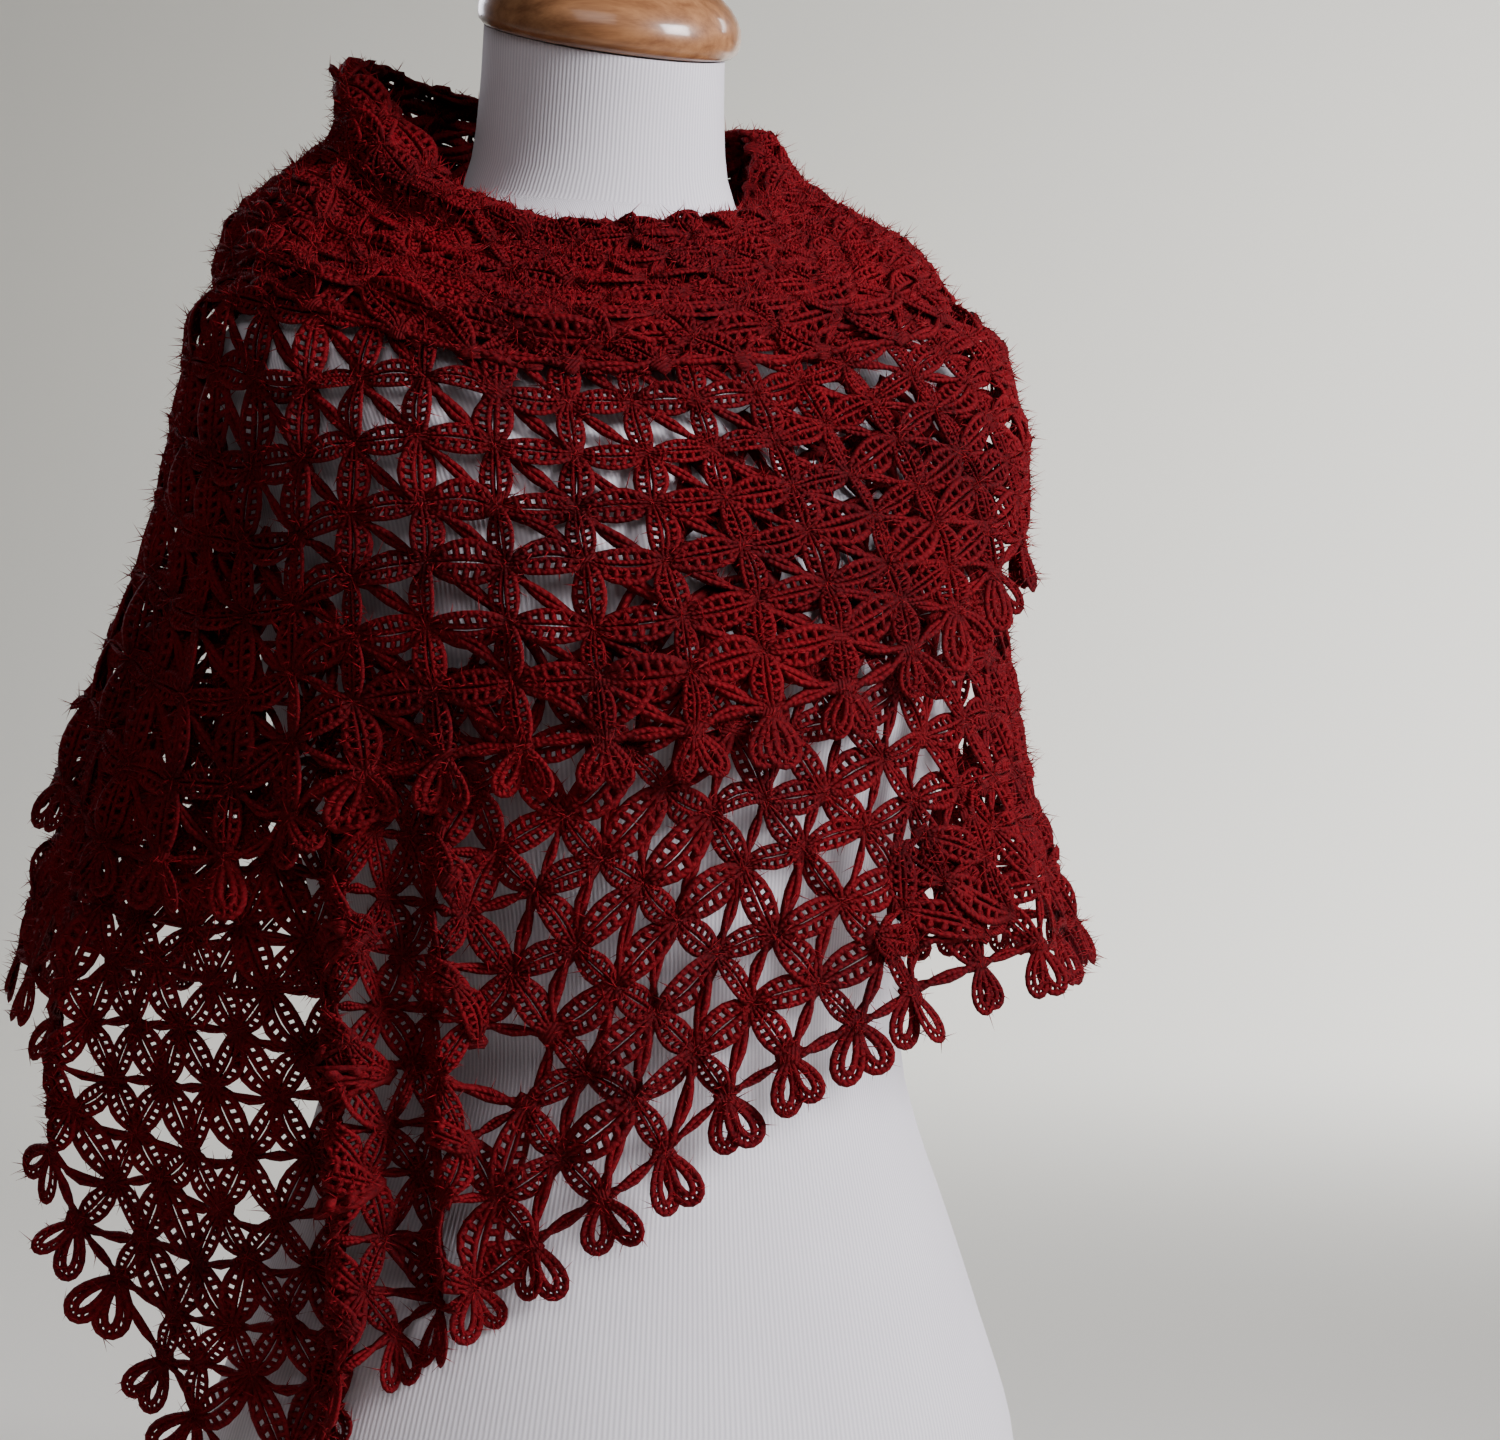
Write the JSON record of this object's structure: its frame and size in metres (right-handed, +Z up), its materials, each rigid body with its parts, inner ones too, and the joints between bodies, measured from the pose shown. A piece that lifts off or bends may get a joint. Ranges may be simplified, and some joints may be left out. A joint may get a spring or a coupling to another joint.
{
  "type": "lace shawl on a dress form",
  "caption": "Crocheted flower-lace shawl with a looped petal hem, wound in layers with a soft cowl round a limbless torso display form with a wooden neck cap.",
  "frame": {"origin": "middle of the whole part's box, on the table that the dress form stands on", "axes": "+Z up along the form's height, +X to the right as seen from the pictured side, +Y away from the viewer"},
  "size_m": [0.4831, 0.3305, 0.7714],
  "materials": {
    "yarn": "fuzzy mohair-blend yarn, deep red, crocheted",
    "cover": "white ribbed cotton jersey, matt",
    "cap": "turned beech, clear varnish"
  },
  "bodies": {
    "root": {"dress_form": "cover", "neck_cap": "cap", "lower_front": "yarn", "left_cascade": "yarn", "back_sheet": "yarn", "chest_wrap": "yarn", "back_wrap": "yarn", "cowl_front": "yarn", "collar_back": "yarn"}
  },
  "joints": []
}
